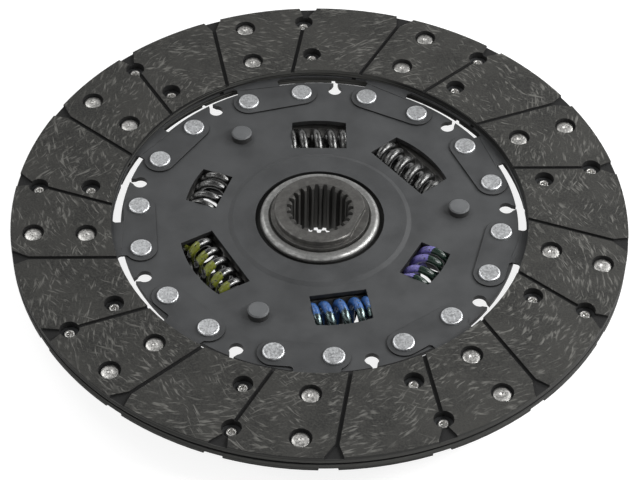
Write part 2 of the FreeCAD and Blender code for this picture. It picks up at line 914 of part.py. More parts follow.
def make_torsion_spring(number, kind, angle, start):
    """A coil of round wire, here with a many-sided section. Its end coils lie closer, and the
    ends are ground flat."""
    name = f"torsion_spring_{number}"
    length = kind.length - 2 * size.spring_end_gap
    closed_turns = size.closed_coil_turns
    closed_pitch = 2 * kind.wire + size.closed_coil_gap
    closed_height = closed_pitch * closed_turns
    open_turns = kind.turns - 2 * closed_turns
    open_pitch = (length - 2 * closed_height) / open_turns
    full_turn = 360
    runs = (
        (closed_turns, closed_pitch, 0, start),
        (open_turns, open_pitch, closed_height, start + full_turn * closed_turns),
        (
            closed_turns,
            closed_pitch,
            length - closed_height,
            start + full_turn * (closed_turns + open_turns),
        ),
    )
    wire = doc.addObject("Part::MultiFuse", f"{name}_wire")
    wire.Shapes = [
        make_wire_run(f"{name}_run_{place}", kind.wire, *run)
        for place, run in enumerate(runs, start=1)
    ]
    ends = doc.addObject("Part::Cylinder", f"{name}_ends")
    bind(ends, "Radius", size.spring_outer_radius + kind.wire)
    bind(ends, "Height", length)
    spring = doc.addObject("Part::Common", name)
    spring.Base = wire
    spring.Tool = ends
    spring.Label = name
    x, y = polar(size.spring_ring_radius, angle)
    back_x, back_y = polar(length / 2, angle + 90)
    turns = ((Z_DIRECTION, angle), (X_DIRECTION, -90))
    place = placement_formula(x - back_x, y - back_y, spring_level, turns)
    spring.setExpression("Placement", place)
    nodes.append(spring)


def make_torsion_springs():
    for number, kind_name, angle in spring_places():
        make_torsion_spring(number, spring_kinds[kind_name], angle, SPRING_STARTS[number - 1])


# Hub


def turn_hub_blank(body):
    edge = size.hub_chamfer
    nose = size.hub_nose_height
    collar = size.shoulder_radius - size.collar_step
    profile = side_sketch(body, "profile")
    add_loop(
        profile,
        (
            (size.spline_tip_radius, hub_tail_level + edge),
            (size.spline_tip_radius + edge, hub_tail_level),
            (size.hub_tail_radius - edge, hub_tail_level),
            (size.hub_tail_radius, hub_tail_level + edge),
            (size.hub_tail_radius, flange_back),
            (flange_radius, flange_back),
            (flange_radius, flange_front),
            (size.shoulder_radius, flange_front),
            (size.shoulder_radius, shoulder_level),
            (collar, shoulder_level),
            (collar, nose - edge / 2),
            (collar - edge / 2, nose),
            (size.spline_tip_radius + edge, nose),
            (size.spline_tip_radius, nose - edge),
        ),
    )
    revolve(body, "blank", profile)


def cut_hub_collar(body):
    """The flat on one side of the collar."""
    depth = size.hub_nose_height - shoulder_level
    collar = size.shoulder_radius - size.collar_step
    far = collar + size.hub_chamfer
    flat = flat_sketch(body, "flat_plan", size.hub_nose_height, size.collar_flat_angle)
    near = collar - size.collar_flat_depth
    add_loop(flat, ((near, -far), (far, -far), (far, far), (near, far)))
    pocket(body, "flat", flat, depth)


def cut_stop_notches(body):
    """Open notches in the flange's rim, as wide as the stop pins' way plus a gap."""
    way = size.twist_limit_angle + arc_sine((size.pin_spacer_radius + size.pin_stop_gap) / pin_ring)
    inner = pin_ring - size.pin_spacer_radius - size.notch_floor_gap
    outer = flange_radius + size.pin_spacer_radius
    notch = flat_sketch(body, "notch_plan", flange_front, size.key_angle)
    add_loop(
        notch,
        (
            (*polar(inner, way), -inner),
            polar(inner, -way),
            (*polar(outer, -way), outer),
            polar(outer, way),
        ),
    )
    cut = pocket(body, "notch", notch, size.flange_thickness)
    repeat(body, "notches_round", [cut], size.pin_count)


def cut_spline(body):
    """Straight-sided tooth spaces of the internal spline, right through the hub."""
    space = flat_sketch(body, "space_plan", size.hub_nose_height, size.spline_angle)
    mouth = size.spline_mouth_width / 2
    bottom = size.spline_root_width / 2
    root_radius = size.spline_tip_radius + size.spline_depth
    inside = size.spline_tip_radius - size.hub_chamfer
    add_loop(
        space,
        (
            (inside, -mouth),
            (size.spline_tip_radius, -mouth),
            (root_radius, -bottom),
            (root_radius, bottom),
            (size.spline_tip_radius, mouth),
            (inside, mouth),
        ),
    )
    cut = pocket(body, "space", space)
    repeat(body, "spaces_round", [cut], size.spline_tooth_count)


def cut_flange_windows(body):
    """The flange's windows let each spring lie free at its sides and meet it at its ends."""
    for number, kind_name, angle in spring_places():
        plan = flat_sketch(body, f"window_plan_{number}", flange_front, angle)
        length = spring_kinds[kind_name].length
        add_loop(plan, window_corners(length, flange_window_width))
        pocket(body, f"window_{number}", plan, size.flange_thickness)


def make_hub():
    body = new_body("hub")
    turn_hub_blank(body)
    cut_hub_collar(body)
    cut_stop_notches(body)
    cut_flange_windows(body)
    cut_spline(body)


# Bush and friction pieces


def make_front_bush():
    """Flanged bush: it centres the hub in the carrier plate and rubs on the hub's flange."""
    body = new_body("front_bush")
    bore = size.shoulder_radius + size.running_gap
    seat = plate_front + size.step_height - size.bush_seat_drop
    plate_inside = plate_back + size.step_height
    nose = size.bush_nose_height
    collar = plate_hole_radius - size.bush_collar_step
    profile = side_sketch(body, "profile")
    add_loop(
        profile,
        (
            (bore, flange_front + size.running_gap),
            (size.friction_outer_radius, flange_front + size.running_gap),
            (size.friction_outer_radius, plate_inside),
            (plate_hole_radius, plate_inside),
            (plate_hole_radius, seat),
            (collar, seat),
            (collar, nose - size.bush_round, size.bush_round),
            (collar - size.bush_round, nose),
            (bore + size.bush_mouth_chamfer, nose),
            (bore, nose - size.bush_mouth_chamfer),
        ),
    )
    revolve(body, "bush", profile)


def make_friction_washer():
    body = new_body("friction_washer")
    plan = flat_sketch(body, "plan", ring_front)
    add_circle(plan, size.hub_tail_radius + size.running_gap)
    add_circle(plan, size.friction_outer_radius)
    pad(body, "washer", plan, size.washer_thickness)


def make_pressure_ring():
    """Steel ring behind the washer, held from turning by prongs in the counter plate."""
    body = new_body("pressure_ring")
    plan = flat_sketch(body, "plan", ring_back)
    add_circle(plan, size.hub_tail_radius + size.running_gap)
    add_circle(plan, prong_ring + size.prong_thickness / 2)
    pad(body, "ring", plan, size.pressure_ring_thickness)
    prong_end = dish_back - size.prong_reach
    prong_plan = flat_sketch(body, "prong_plan", prong_end, size.key_angle)
    add_loop(prong_plan, prong_corners(0))
    prong = pad(body, "prong", prong_plan, ring_front - prong_end)
    repeat(body, "prongs_round", [prong], size.prong_count)


def make_diaphragm_spring():
    """Coned spring washer between the pressure ring and the dish of the counter plate."""
    body = new_body("diaphragm_spring")
    thickness = size.diaphragm_thickness
    outer = prong_ring - size.prong_thickness / 2 - size.diaphragm_edge_gap
    profile = side_sketch(body, "profile")
    add_loop(
        profile,
        (
            (size.diaphragm_inner_radius, dish_front),
            (outer, ring_back - thickness),
            (outer, ring_back),
            (size.diaphragm_inner_radius, dish_front + thickness),
        ),
    )
    revolve(body, "cone", profile)


# The whole part


def check_all():
    """Stops the script if any object failed, a cut removed nothing or a node is no solid."""
    volumes = {}
    for item in doc.Objects:
        if "Invalid" in item.State or "Error" in item.State:
            raise RuntimeError(f"{item.Label} did not compute: {item.State}")
        if item.TypeId.startswith("PartDesign::") and item.TypeId != "PartDesign::Body":
            volumes[item.Name] = item.Shape.Volume
            base = item.BaseFeature
            if base and math.isclose(volumes[item.Name], volumes[base.Name], rel_tol=1e-9):
                raise RuntimeError(f"{item.Label} changed nothing")
    for node in nodes:
        if node.Shape.isNull() or not node.Shape.isValid() or not node.Shape.Solids:
            raise RuntimeError(f"{node.Label} is not a valid solid")


def write_parts():
    os.makedirs("parts", exist_ok=True)
    for node in nodes:
        node.Shape.exportStep(f"parts/{node.Label}.step")


make_facings()
make_facing_rivets("front_lining_rivets", 1)
make_facing_rivets("rear_lining_rivets", -1)
make_cushion_segments()
make_segment_rivets()
make_carrier_plate()
make_counter_plate()
make_stop_pins()
make_torsion_springs()
make_hub()
make_front_bush()
make_friction_washer()
make_pressure_ring()
make_diaphragm_spring()
doc.recompute()
check_all()
write_parts()
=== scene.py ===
import math
from collections import namedtuple

import bmesh
import bpy
from mathutils import Matrix, Vector


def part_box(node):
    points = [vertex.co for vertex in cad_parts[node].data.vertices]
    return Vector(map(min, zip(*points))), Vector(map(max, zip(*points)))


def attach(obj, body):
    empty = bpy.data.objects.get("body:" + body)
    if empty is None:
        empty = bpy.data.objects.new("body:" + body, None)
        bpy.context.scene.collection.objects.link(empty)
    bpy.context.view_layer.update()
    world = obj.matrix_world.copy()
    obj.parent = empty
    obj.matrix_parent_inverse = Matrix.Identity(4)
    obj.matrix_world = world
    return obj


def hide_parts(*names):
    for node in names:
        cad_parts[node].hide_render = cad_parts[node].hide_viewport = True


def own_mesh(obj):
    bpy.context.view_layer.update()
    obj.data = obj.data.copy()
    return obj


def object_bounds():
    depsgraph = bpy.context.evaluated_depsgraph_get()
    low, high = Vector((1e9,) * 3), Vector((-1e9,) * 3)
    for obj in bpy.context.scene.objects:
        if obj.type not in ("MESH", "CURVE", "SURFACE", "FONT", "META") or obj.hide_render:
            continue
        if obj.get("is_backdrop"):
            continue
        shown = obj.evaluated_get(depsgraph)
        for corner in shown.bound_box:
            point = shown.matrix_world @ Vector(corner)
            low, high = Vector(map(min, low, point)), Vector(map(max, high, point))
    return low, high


# The looks of a clutch disc with a sprung hub. Lengths are in metres, but in millimetres in the
# patterns of the materials, in the sections of the rivets and where a name ends in _MM.

MM = 0.001
SPRING_RING = 46.5 * MM
SPRING_LEVEL = -6.7 * MM
COIL_RADIUS = 7.4 * MM
SHARP_FROM = math.radians(40)

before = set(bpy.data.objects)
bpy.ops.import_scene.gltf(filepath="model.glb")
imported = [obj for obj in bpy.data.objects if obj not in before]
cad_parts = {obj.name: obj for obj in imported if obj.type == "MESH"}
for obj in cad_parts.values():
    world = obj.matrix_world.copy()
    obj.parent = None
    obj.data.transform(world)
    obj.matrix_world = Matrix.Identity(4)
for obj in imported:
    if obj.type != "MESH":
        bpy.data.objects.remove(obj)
cad_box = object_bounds()


# Node trees


class Tree:
    """Short calls that add nodes to a node tree. What they are given is a value or a socket."""

    def __init__(self, node_tree):
        self.nodes = node_tree.nodes
        self.links = node_tree.links

    def feed(self, target, thing):
        """Gives a socket a number, a colour or another socket."""
        if isinstance(thing, bpy.types.NodeSocket):
            self.links.new(thing, target)
        else:
            target.default_value = thing

    def math(self, operation, first, second=0.0, third=0.0):
        node = self.nodes.new("ShaderNodeMath")
        node.operation = operation
        for socket, thing in zip(node.inputs, (first, second, third)):
            self.feed(socket, thing)
        return node.outputs[0]

    def times(self, first, second):
        return self.math("MULTIPLY", first, second)

    def vector(self, x, y, z):
        node = self.nodes.new("ShaderNodeCombineXYZ")
        for socket, thing in zip(node.inputs, (x, y, z)):
            self.feed(socket, thing)
        return node.outputs[0]

    def parts(self, vector):
        node = self.nodes.new("ShaderNodeSeparateXYZ")
        self.links.new(vector, node.inputs[0])
        return node.outputs

    def spread(self, value, low, high, start=0.0, end=1.0):
        """Maps low..high to start..end, smoothly and with both ends held."""
        node = self.nodes.new("ShaderNodeMapRange")
        node.interpolation_type = "SMOOTHSTEP"
        for name, thing in (
            ("Value", value),
            ("From Min", low),
            ("From Max", high),
            ("To Min", start),
            ("To Max", end),
        ):
            self.feed(node.inputs[name], thing)
        return node.outputs["Result"]

    def mix(self, share, first, second):
        node = self.nodes.new("ShaderNodeMix")
        node.data_type = "RGBA"
        self.feed(node.inputs["Factor"], share)
        for socket, thing in ((node.inputs[6], first), (node.inputs[7], second)):
            self.feed(socket, thing if isinstance(thing, bpy.types.NodeSocket) else (*thing, 1))
        return node.outputs[2]

    def mix_shaders(self, share, first, second):
        node = self.nodes.new("ShaderNodeMixShader")
        for socket, thing in zip(node.inputs, (share, first, second)):
            self.links.new(thing, socket)
        return node.outputs[0]


class Recipe(Tree):
    """A material with its shader. Its patterns lie in the object's own space, in mm. A span is the
    two values between which something changes over."""

    NOISE_SPAN = (0.3, 0.7)
    GRAIN_SPAN = (0.35, 0.7)
    FLAT_SPAN = (0.3, 0.7)
    EDGE_SAMPLES = 4

    def __init__(self, name, color, roughness, metallic=0.0, specular=0.5):
        self.material = bpy.data.materials.new(name)
        self.material.use_nodes = True
        super().__init__(self.material.node_tree)
        self.shader = self.nodes["Principled BSDF"]
        self.shader.inputs["Base Color"].default_value = (*color, 1)
        self.shader.inputs["Roughness"].default_value = roughness
        self.shader.inputs["Metallic"].default_value = metallic
        self.shader.inputs["Specular IOR Level"].default_value = specular
        place = self.nodes.new("ShaderNodeTexCoord").outputs["Object"]
        scaled = self.nodes.new("ShaderNodeVectorMath")
        scaled.operation = "SCALE"
        scaled.inputs["Scale"].default_value = 1 / MM
        self.links.new(place, scaled.inputs[0])
        self.place = scaled.outputs["Vector"]

    def noise(self, scale, place=None, detail=2.0, roughness=0.5, distortion=0.0):
        node = self.nodes.new("ShaderNodeTexNoise")
        self.links.new(place or self.place, node.inputs["Vector"])
        node.inputs["Scale"].default_value = scale
        node.inputs["Detail"].default_value = detail
        node.inputs["Roughness"].default_value = roughness
        node.inputs["Distortion"].default_value = distortion
        return node.outputs["Fac"]

    def vary(self, noise, start, end):
        """Goes from start to end over the values that most of a noise has."""
        return self.spread(noise, *self.NOISE_SPAN, start, end)

    def mottled(self, noise, span, color, share):
        """The colour, darkened to this share of it where the noise is under its span."""
        return self.mix(self.spread(noise, *span), shaded(color, share), color)

    def blend(self, share, start, end):
        """Goes from start to end as a share goes from 0 to 1."""
        return self.spread(share, 0.0, 1.0, start, end)

    def beyond(self, value, edge, soft):
        """0 under an edge and 1 over it. It changes over softly, this far on both its sides."""
        return self.spread(value, edge - soft, edge + soft)

    def short_of(self, value, edge, soft):
        """1 under an edge and 0 over it."""
        return self.spread(value, edge - soft, edge + soft, 1.0, 0.0)

    def flatness(self):
        """1 on faces that look up or down, 0 on walls such as those of a window."""
        side = self.nodes.new("ShaderNodeNewGeometry")
        upright = self.math("ABSOLUTE", self.parts(side.outputs["Normal"])[2])
        return self.spread(upright, *self.FLAT_SPAN)

    def polar(self):
        """Distance from the disc's axis in mm and angle round it in radians."""
        x, y, _ = self.parts(self.place)
        square = self.math("ADD", self.times(x, x), self.times(y, y))
        return self.math("SQRT", square), self.math("ARCTAN2", y, x)

    def color(self, thing):
        self.links.new(thing, self.shader.inputs["Base Color"])

    def roughness(self, thing):
        self.links.new(thing, self.shader.inputs["Roughness"])

    def metallic(self, thing):
        self.links.new(thing, self.shader.inputs["Metallic"])

    def relief(self, height, depth, edge=0.0):
        """Bumps of this depth. Edge also rounds the corners that the light sees."""
        node = self.nodes.new("ShaderNodeBump")
        node.inputs["Distance"].default_value = depth
        node.inputs["Strength"].default_value = 1.0
        self.feed(node.inputs["Height"], height)
        if edge:
            rounded = self.nodes.new("ShaderNodeBevel")
            rounded.samples = self.EDGE_SAMPLES
            rounded.inputs["Radius"].default_value = edge
            self.links.new(rounded.outputs[0], node.inputs["Normal"])
        self.links.new(node.outputs[0], self.shader.inputs["Normal"])


def grey(value, warmth=0.0):
    return (value * (1 + warmth), value, value * (1 - warmth))


def shaded(color, share):
    return tuple(channel * share for channel in color)


# The lining's material

BINDER = (0.042, 0.041, 0.038)
BINDER_DARK = (0.024, 0.024, 0.023)
BINDER_PALE = (0.040, 0.0395, 0.037)
GRIT = (0.047, 0.0465, 0.043)
THREAD = (0.135, 0.133, 0.123)
THREAD_COVER = 0.9
# Painted shade: a near black for the grooves, counterbores and other recesses under the face.
RECESS_SHADE = (0.018, 0.018, 0.018)
# The bore's stripes are layers of the lining. They run from a near black, which is painted shade
# on that wall, to a grey.
BORE_STRIPES_AND_SHADE = ((0.011, 0.011, 0.011), (0.075, 0.075, 0.07))
RIM_STRIPES = ((0.05, 0.05, 0.048), (0.09, 0.09, 0.085))

# Each winding of the yarn has a number of waves round the disc, their swing, a shift that sets it
# apart from the others, and the angle of its seam.
WINDINGS = (
    (5, 14.0, 0.4, 0.0),
    (4, -17.0, 2.1, 2.1),
    (7, 9.0, 4.0, 4.2),
)
RIPPLES = 37.0
RIPPLE_SWING = 0.7
YARN_RADIUS = 100.0
STROKES_ACROSS = 0.85
STROKES_ALONG = 0.23
STROKE_SHIFT = 7
STROKE_SPAN = (0.54, 0.74)
PATCH_SCALE = 0.085
PATCH_SHIFT = 3
PATCH_SPAN = (0.44, 0.6)
SEAM_SPAN = (0.02, 0.12)

# Where the face, the bore's wall and the rim's wall begin, and the stripes on the two walls.
FACE_EDGE = 3.5
FACE_SOFT = 0.1
BORE_EDGE = 81.425
RIM_EDGE = 119.825
WALL_SOFT = 0.075
STRIPES_UPWARD = 1.6
STRIPE_SPAN = (0.48, 0.6)


def fibre_layer(recipe, radius, angle, waves, swing, shift, seam):
    """Yarn strokes of one winding. They fade out at the seam, where the angle jumps."""
    turned = recipe.math("ADD", angle, seam)
    wrapped = recipe.math("WRAP", turned, math.pi, -math.pi)
    sway = recipe.math("SINE", recipe.math("MULTIPLY_ADD", wrapped, float(waves), shift))
    ripple = recipe.math("SINE", recipe.math("MULTIPLY_ADD", wrapped, RIPPLES, shift))
    rippled = recipe.math("MULTIPLY_ADD", ripple, RIPPLE_SWING, radius)
    across = recipe.math("MULTIPLY_ADD", sway, swing, rippled)
    along = recipe.times(wrapped, YARN_RADIUS)
    stroke_place = recipe.vector(
        recipe.times(across, STROKES_ACROSS),
        recipe.times(along, STROKES_ALONG),
        shift * STROKE_SHIFT,
    )
    strokes = recipe.noise(1.0, stroke_place, detail=1.5, roughness=0.5, distortion=0.45)
    patch_place = recipe.vector(across, along, shift * PATCH_SHIFT)
    patch = recipe.noise(PATCH_SCALE, patch_place, detail=2.0, roughness=0.6)
    lit = recipe.times(recipe.spread(strokes, *STROKE_SPAN), recipe.spread(patch, *PATCH_SPAN))
    from_seam = recipe.math("SUBTRACT", math.pi, recipe.math("ABSOLUTE", wrapped))
    return recipe.times(lit, recipe.spread(from_seam, *SEAM_SPAN))


def lining_threads(recipe, radius, angle):
    """The strokes of all windings, the brightest on top."""
    layers = [fibre_layer(recipe, radius, angle, *winding) for winding in WINDINGS]
    threads = layers[0]
    for layer in layers[1:]:
        threads = recipe.math("MAXIMUM", threads, layer)
    return threads


def lining_depths(recipe, radius, angle, level):
    """What lies under the face: recesses that get painted shade, and stripes round the bore and
    the rim. The bore's stripes run down to painted shade too.
    """
    place = recipe.vector(angle, radius, recipe.times(level, STRIPES_UPWARD))
    stripes = recipe.spread(recipe.noise(1.0, place), *STRIPE_SPAN)
    in_bore = recipe.short_of(radius, BORE_EDGE, WALL_SOFT)
    at_rim = recipe.beyond(radius, RIM_EDGE, WALL_SOFT)
    # Painted shade fills the recesses and darkens the bore's wall.
    depths = recipe.mix(in_bore, RECESS_SHADE, recipe.mix(stripes, *BORE_STRIPES_AND_SHADE))
    return recipe.mix(at_rim, depths, recipe.mix(stripes, *RIM_STRIPES))


def lining_material():
    """Moulded friction lining: dark binder with paler wound threads, and painted shade in every
    recess.
    """
    recipe = Recipe("lining", BINDER, 0.8, specular=0.2)
    radius, angle = recipe.polar()
    level = recipe.math("ABSOLUTE", recipe.parts(recipe.place)[2])
    face = recipe.beyond(level, FACE_EDGE, FACE_SOFT)
    threads = recipe.times(lining_threads(recipe, radius, angle), face)
    grit = recipe.noise(1.3, detail=3.0, roughness=0.65)
    cloud = recipe.noise(0.06, detail=3.0, roughness=0.6)
    binder = recipe.mix(recipe.spread(cloud, 0.35, 0.65), BINDER_DARK, BINDER_PALE)
    base = recipe.mix(recipe.spread(grit, *recipe.GRAIN_SPAN), binder, GRIT)
    top = recipe.mix(recipe.times(threads, THREAD_COVER), base, THREAD)
    recipe.color(recipe.mix(face, lining_depths(recipe, radius, angle, level), top))
    recipe.roughness(recipe.blend(threads, 0.85, 0.6))
    height = recipe.math("MULTIPLY_ADD", grit, 1.3, threads)
    recipe.relief(height, 0.14 * MM, edge=0.12 * MM)
    return recipe.material


# The metals

PLATE_WARMTH = -0.03
BRIGHT_STEEL = (0.84, 0.855, 0.87)
DULL_STEEL = (0.69, 0.68, 0.655)
HUB_STEEL = (0.203, 0.199, 0.19)
BUSH_STEEL = (0.43, 0.43, 0.42)
SPRING_STEEL = (0.19, 0.19, 0.187)
GREEN_STEEL = (0.19, 0.25, 0.25)
GREEN_LACQUER = (0.013, 0.032, 0.022)
OLIVE = (0.17, 0.19, 0.02)
BLUE = (0.045, 0.13, 0.36)
VIOLET = (0.17, 0.15, 0.42)

# Painted shade darkens the hub inside a radius and the bush under a level.
HUB_SHADE_RADIUS = 13.3
BUSH_SHADE_LEVEL = -0.2
FAR_BELOW = -99.0

# A noise makes the edges of the springs' paint ragged. The mean is what it adds on the average,
# and is taken back.
RAGGED = 3.0
RAGGED_MEAN = 1.55
RAGGED_SOFT = 0.25


def plate_material(name, dark, light, edge=0.3 * MM):
    """Phosphated pressed steel: matt, with faint clouds and a fine grain, and painted shade that
    darkens its walls.
    """
    recipe = Recipe(name, grey((dark + light) / 2, PLATE_WARMTH), 0.55, specular=0.3)
    cloud = recipe.noise(0.06, detail=3.0, roughness=0.6)
    grain = recipe.noise(3.0, detail=2.0, roughness=0.6)
    shade = recipe.math("MULTIPLY_ADD", grain, 0.35, recipe.times(cloud, 0.75))
    tones = (grey(dark, PLATE_WARMTH), grey(light, PLATE_WARMTH))
    face = recipe.mix(recipe.spread(shade, 0.35, 0.75), *tones)
    # Painted shade: upright walls, such as those of the windows, get a far darker grey.
    recipe.color(recipe.mix(recipe.flatness(), grey(dark * 0.35), face))
    recipe.roughness(recipe.vary(cloud, 0.44, 0.58))
    recipe.relief(grain, 0.02 * MM, edge=edge)
    return recipe.material


def rivet_material(name, color, grain_scale, depth):
    """Bright headed metal with a hammered, speckled face."""
    recipe = Recipe(name, color, 0.42, metallic=1.0)
    speck = recipe.noise(grain_scale, detail=2.5, roughness=0.7)
    dirt = recipe.noise(0.8, detail=2.0)
    worn = recipe.mottled(speck, (0.36, 0.62), color, 0.7)
    recipe.color(recipe.mix(recipe.spread(dirt, 0.55, 0.75), worn, shaded(color, 0.6)))
    recipe.roughness(recipe.vary(speck, 0.3, 0.5))
    recipe.relief(speck, depth, edge=0.25 * MM)
    return recipe.material


def turned_material(name, color, roughness, rings, shade_share, radius=0.0, level=FAR_BELOW):
    """Turned steel with faint rings about the disc's axis and stains, and painted shade in its
    depths: inside a radius and under a level. How much of its colour is left there is given as an
    argument."""
    recipe = Recipe(name, color, roughness, metallic=1.0)
    distance, _ = recipe.polar()
    height = recipe.parts(recipe.place)[2]
    lines = recipe.noise(1.0, recipe.vector(recipe.times(distance, rings), 0.0, height))
    stain = recipe.noise(0.3, detail=3.0, roughness=0.65)
    worn = recipe.mottled(stain, recipe.GRAIN_SPAN, color, 0.6)
    # Painted shade: inside the radius and under the level the colour is darkened and the roughness
    # raised.
    unshaded = recipe.times(recipe.beyond(distance, radius, 0.4), recipe.beyond(height, level, 0.6))
    recipe.color(recipe.mix(unshaded, shaded(color, shade_share), worn))
    gloss = recipe.vary(stain, roughness + 0.12, roughness - 0.05)
    recipe.roughness(recipe.blend(unshaded, 0.75, gloss))
    recipe.relief(recipe.math("MULTIPLY_ADD", stain, 1.5, lines), 0.03 * MM, edge=0.3 * MM)
    return recipe.material


def coil_grain(recipe, steel):
    """The fine grain of a spring's wire, and the colour that it gives the steel."""
    grain = recipe.noise(1.6, detail=3.0, roughness=0.6)
    return grain, recipe.mottled(grain, recipe.GRAIN_SPAN, steel, 0.5)


def bare_spring_material(name, steel):
    """Dark oiled spring steel."""
    recipe = Recipe(name, steel, 0.3, metallic=1.0)
    grain, color = coil_grain(recipe, steel)
    recipe.color(color)
    recipe.roughness(recipe.vary(grain, 0.26, 0.38))
    recipe.relief(grain, 0.02 * MM)
    return recipe.material


def painted_spring_material(name, paint, middle, outward):
    """Spring steel with a worn stripe of marking paint along it. The paint's band says from where
    to where the stripe goes, outward of the spring's middle."""
    recipe = Recipe(name, paint.color, 0.35)
    grain, bare = coil_grain(recipe, paint.steel)
    x, y, _ = recipe.parts(recipe.place)
    out = recipe.math(
        "ADD",
        recipe.times(recipe.math("SUBTRACT", x, middle.x / MM), outward.x),
        recipe.times(recipe.math("SUBTRACT", y, middle.y / MM), outward.y),
    )
    tatters = recipe.noise(0.45, detail=3.0, roughness=0.6)
    ragged = recipe.math("MULTIPLY_ADD", tatters, RAGGED, out)
    inner, outer = paint.band
    above = recipe.beyond(ragged, inner + RAGGED_MEAN, RAGGED_SOFT)
    below = recipe.short_of(ragged, outer + RAGGED_MEAN, RAGGED_SOFT)
    chips = recipe.spread(recipe.noise(0.8, detail=2.0), 0.33, 0.4)
    cover = recipe.times(recipe.times(above, below), chips)
    shade = recipe.mottled(grain, recipe.NOISE_SPAN, paint.color, 0.55)
    recipe.color(recipe.mix(cover, bare, shade))
    recipe.metallic(recipe.blend(cover, paint.metal, 0.0))
    recipe.roughness(recipe.blend(cover, 0.27, 0.3))
    recipe.relief(grain, 0.03 * MM)
    return recipe.material


# The CAD nodes' materials


def dress(material, *names):
    """Gives the CAD nodes of these names the material."""
    for name in names:
        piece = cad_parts[name]
        for slot in piece.material_slots:
            slot.material = material
        if not piece.material_slots:
            piece.data.materials.append(material)


def numbered(stem):
    """The names of the CAD nodes that are numbered after this stem."""
    return [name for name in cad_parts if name.startswith(stem)]


def dress_frame(plate):
    dress(lining_material(), "front_lining", "rear_lining")
    dress(plate, "carrier_plate", "counter_plate")
    segment = plate_material("segment_steel", dark=0.039, light=0.061, edge=0.2 * MM)
    dress(segment, *numbered("cushion_segment_"))
    head = rivet_material("rivet", BRIGHT_STEEL, grain_scale=1.6, depth=0.06 * MM)
    dress(head, "segment_rivets")
    pin = plate_material("pin", dark=0.092, light=0.136)
    dress(pin, *numbered("stop_pin_"))
    hub = turned_material("hub", HUB_STEEL, 0.48, rings=3.0, shade_share=0.5, radius=HUB_SHADE_RADIUS)
    dress(hub, "hub")
    bush = turned_material("bush", BUSH_STEEL, 0.46, rings=2.5, shade_share=0.12, level=BUSH_SHADE_LEVEL)
    dress(bush, "front_bush")
    dark = bare_spring_material("spring_steel", SPRING_STEEL)
    dress(dark, "pressure_ring", "diaphragm_spring")
    washer = plate_material("washer", dark=0.07, light=0.11)
    dress(washer, "friction_washer")


# Meshes


def join_loops(shape, loops):
    """Adds the faces between each loop of vertices and the next. One vertex alone is a tip."""
    for first, second in zip(loops, loops[1:]):
        sides = max(len(first), len(second))
        for k in range(sides):
            after = (k + 1) % sides
            ring = (first[k % len(first)], first[after % len(first)])
            ring += (second[after % len(second)], second[k % len(second)])
            shape.faces.new(tuple(dict.fromkeys(ring)))


def close_ends(shape, loops):
    shape.faces.new(loops[0])
    shape.faces.new(reversed(loops[-1]))


def make_mesh(shape, name):
    """Turns the shape into a mesh that is shaded smooth, and frees it."""
    bmesh.ops.recalc_face_normals(shape, faces=shape.faces[:])
    data = bpy.data.meshes.new(name)
    shape.to_mesh(data)
    shape.free()
    data.shade_smooth()
    return data


def add_object(name, data):
    thing = bpy.data.objects.new(name, data)
    bpy.context.scene.collection.objects.link(thing)
    return thing


# Rivets of the linings

# They are tubes. The points of their section have a radius and, in the head, the depth under its
# top. In the tail they have the height over its rolled end.
DIMPLE = ((0.0, 0.40), (0.35, 0.36), (0.6, 0.14), (0.85, 0.02))
CROWN = ((1.3, 0.0), (2.2, 0.04), (2.9, 0.14), (3.3, 0.27), (3.52, 0.45), (3.56, 0.7))
SHANK_RADIUS = 1.6
HEAD_DEPTH = 0.75
TAIL_HEIGHT = 0.92
TAIL_ROLL = ((2.0, 0.86), (2.18, 0.6), (2.12, 0.25), (1.85, 0.04), (1.5, 0.0), (1.2, 0.12))
TAIL_BORE = ((1.05, 0.5), (1.0, 1.3), (0.0, 1.4))
RIVET_SIDES = 28
SAME_PLACE = 0.001 * MM


def mesh_islands(mesh):
    """The boxes of a mesh's separate pieces, each as its lowest and its highest corner."""
    shape = bmesh.new()
    shape.from_mesh(mesh)
    bmesh.ops.remove_doubles(shape, verts=shape.verts[:], dist=SAME_PLACE)
    left = set(shape.verts)
    while left:
        waiting = [left.pop()]
        piece = []
        while waiting:
            vert = waiting.pop()
            piece.append(vert.co.copy())
            near = {edge.other_vert(vert) for edge in vert.link_edges} & left
            left -= near
            waiting.extend(near)
        low = Vector([min(co[axis] for co in piece) for axis in range(3)])
        high = Vector([max(co[axis] for co in piece) for axis in range(3)])
        yield low, high
    shape.free()


def rivet_section(head, tail):
    """Half a rivet cut along its axis: radii and heights, from its dimple to its bore."""
    down = (*DIMPLE, *CROWN, (SHANK_RADIUS, HEAD_DEPTH))
    up = ((SHANK_RADIUS, TAIL_HEIGHT), *TAIL_ROLL, *TAIL_BORE)
    points = [(radius, head - depth) for radius, depth in down]
    return points + [(radius, tail + rise) for radius, rise in up]


def add_turned_piece(shape, centre, section, side):
    """Turns a section about an upright axis through centre. Side -1 puts it upside down."""
    loops = []
    for radius, height in section:
        count = RIVET_SIDES if radius > 0 else 1
        places = [
            (
                centre.x + radius * MM * math.cos(math.tau * k / RIVET_SIDES),
                centre.y + radius * MM * math.sin(math.tau * k / RIVET_SIDES),
                side * height * MM,
            )
            for k in range(count)
        ]
        loops.append([shape.verts.new(place) for place in places])
    join_loops(shape, loops)


def make_lining_rivets():
    """Tubular rivets in the places of the plain ones of the CAD model."""
    material = rivet_material("lining_rivet", DULL_STEEL, grain_scale=1.3, depth=0.08 * MM)
    for side, name in ((1, "front_lining_rivets"), (-1, "rear_lining_rivets")):
        shape = bmesh.new()
        for low, high in mesh_islands(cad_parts[name].data):
            tail, head = sorted((side * low.z / MM, side * high.z / MM))
            add_turned_piece(shape, (low + high) / 2, rivet_section(head, tail), side)
        data = make_mesh(shape, f"tubular_{name}")
        data.materials.append(material)
        rivets = add_object(f"tubular_{name}", data)
        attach(rivets, "disc")
        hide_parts(name)


# Springs

